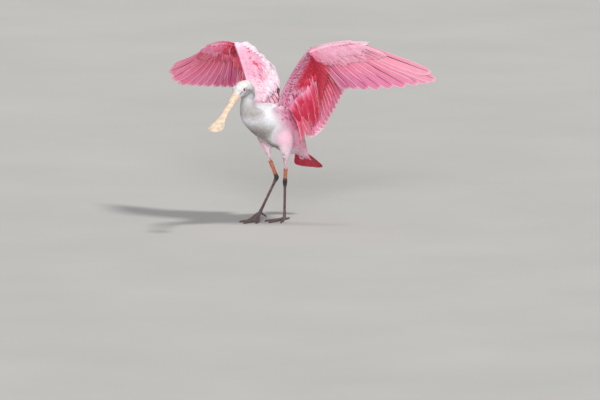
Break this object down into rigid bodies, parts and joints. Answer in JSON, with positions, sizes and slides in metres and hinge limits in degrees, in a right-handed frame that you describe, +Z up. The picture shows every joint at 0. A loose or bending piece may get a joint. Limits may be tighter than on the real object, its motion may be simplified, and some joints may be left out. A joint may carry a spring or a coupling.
{
  "type": "roseate spoonbill figure",
  "caption": "Life-size wading bird with a long spoon-shaped bill, standing on both feet in mid step with pink wings raised and spread.",
  "frame": {"origin": "middle of the whole bird's box on the level that its soles stand on", "axes": "the bird faces -Y, its left wing reaches toward +X, +Z is up from the soles"},
  "size_m": [0.8854, 0.5288, 0.519],
  "materials": {
    "body_feathers": "short soft contour feathers, white to pale pink",
    "wing_feathers": "flight and covert feathers, rose pink",
    "tail_feathers": "stiff tail feathers, deep red",
    "bare_skin": "bare greenish white head skin, fine wrinkles",
    "bill_horn": "pale horn coloured bill with a leathery sheath",
    "eye": "glossy dark red eye",
    "shank_skin": "bare orange red leg skin",
    "leg_scale": "grey scaled leg and toe skin, dark at the joints"
  },
  "bodies": {
    "root": {"bill_lower": "bill_horn", "bill_upper": "bill_horn", "eye_left": "eye", "eye_right": "eye", "foot_left": "leg_scale", "foot_right": "leg_scale", "head": "bare_skin", "neck": "body_feathers", "shank_left": "shank_skin", "shank_right": "shank_skin", "tail": "tail_feathers", "tarsus_left": "leg_scale", "tarsus_right": "leg_scale", "thigh_left": "body_feathers", "thigh_right": "body_feathers", "torso": "body_feathers", "wing_left_arm": "wing_feathers", "wing_left_hand": "wing_feathers", "wing_right_arm": "wing_feathers", "wing_right_hand": "wing_feathers"}
  },
  "joints": []
}
